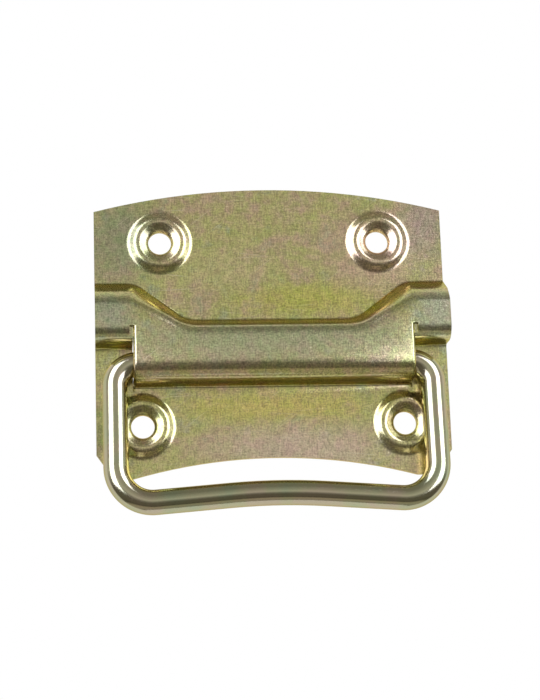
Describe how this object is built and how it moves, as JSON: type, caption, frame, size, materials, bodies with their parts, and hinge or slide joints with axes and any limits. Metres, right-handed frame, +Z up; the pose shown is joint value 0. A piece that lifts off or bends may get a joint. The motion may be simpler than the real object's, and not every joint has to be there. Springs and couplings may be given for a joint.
{
  "type": "grab handle",
  "caption": "Drop-type grab handle: a bent round rod hinged behind the flap of a pressed sheet back plate, to be screwed flat on a chest, case or door.",
  "frame": {"origin": "midway between the two upper screw holes, on the plane of the plate's back face", "axes": "+X along the plate's width to the right as seen from the front, +Y into the wall that the plate is screwed to, +Z up"},
  "size_m": [0.1, 0.0115, 0.0947],
  "materials": {
    "plate_zinc": "yellow passivated zinc on pressed steel, satin",
    "rod_zinc": "yellow passivated zinc on drawn steel rod, semi-gloss"
  },
  "bodies": {
    "plate": {"back_plate": "plate_zinc"},
    "handle": {"bail_handle": "rod_zinc"}
  },
  "joints": [
    {"name": "handle_swing", "type": "hinge", "parent": "plate", "child": "handle", "pos_m": [0, -0.00545, -0.0363], "axis": [-1, 0, 0], "range_deg": [0, 112]}
  ]
}
